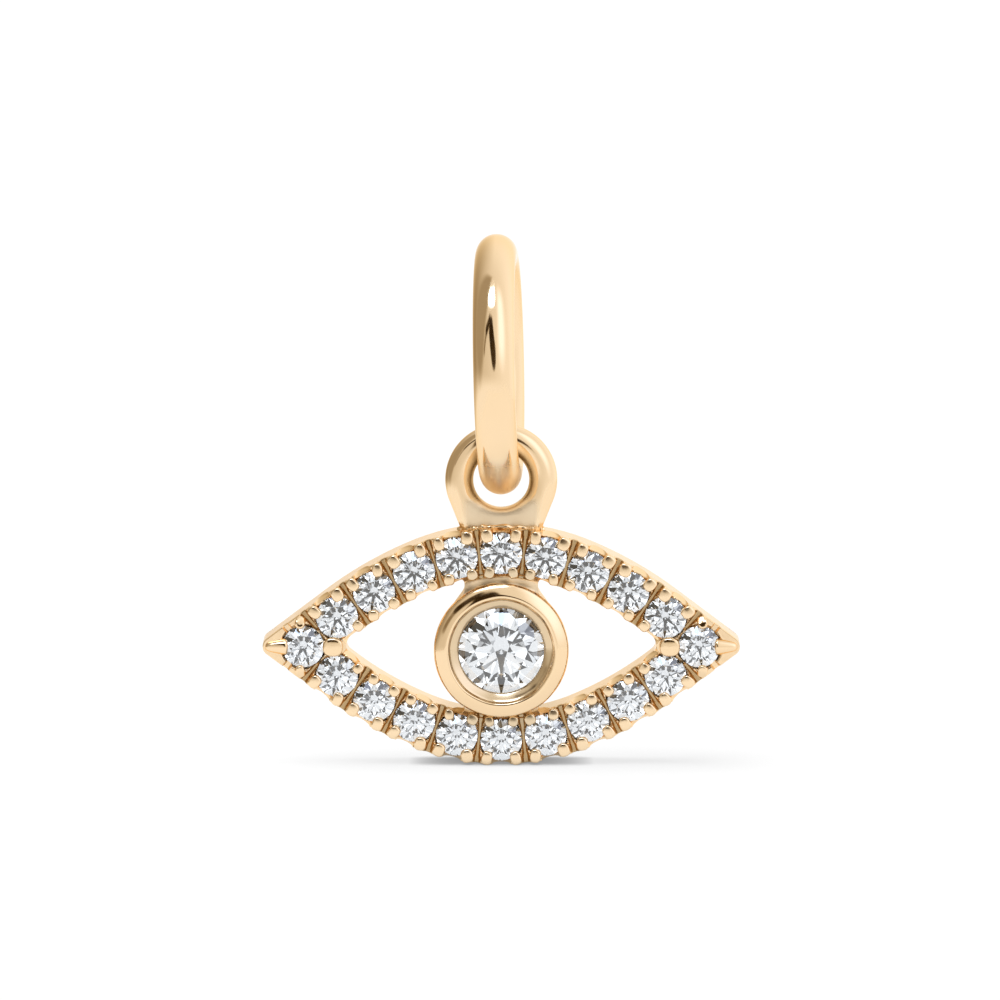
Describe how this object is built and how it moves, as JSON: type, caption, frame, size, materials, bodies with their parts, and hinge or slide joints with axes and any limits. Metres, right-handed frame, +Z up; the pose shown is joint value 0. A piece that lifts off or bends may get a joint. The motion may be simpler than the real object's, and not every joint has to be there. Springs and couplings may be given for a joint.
{
  "type": "evil eye pendant",
  "caption": "Gold eye-shaped pendant of two pavé-set lids round a bezel-set centre stone, hanging by its loop on a plain round bail ring.",
  "frame": {"origin": "where a chain lies in the bail ring: the inside of the ring at its top", "axes": "+X across the eye, to the right as seen from its front, -Y out of its front, +Z up"},
  "size_m": [0.0114, 0.0062, 0.0126],
  "materials": {
    "gold": "polished",
    "diamond": "faceted and polished"
  },
  "bodies": {
    "bail": {"bail_ring": "gold"},
    "eye": {"eye_frame": "gold", "centre_stone": "diamond", "pave_stone_01": "diamond", "pave_stone_02": "diamond", "pave_stone_03": "diamond", "pave_stone_04": "diamond", "pave_stone_05": "diamond", "pave_stone_06": "diamond", "pave_stone_07": "diamond", "pave_stone_08": "diamond", "pave_stone_09": "diamond", "pave_stone_10": "diamond", "pave_stone_11": "diamond", "pave_stone_12": "diamond", "pave_stone_13": "diamond", "pave_stone_14": "diamond", "pave_stone_15": "diamond", "pave_stone_16": "diamond", "pave_stone_17": "diamond", "pave_stone_18": "diamond", "pave_stone_19": "diamond", "pave_stone_20": "diamond"}
  },
  "joints": [
    {"name": "side_swing", "type": "hinge", "parent": "bail", "child": "eye", "pos_m": [0.00011, 0, -0.00473], "axis": [0, 1, 0], "range_deg": [-110, 110]}
  ]
}
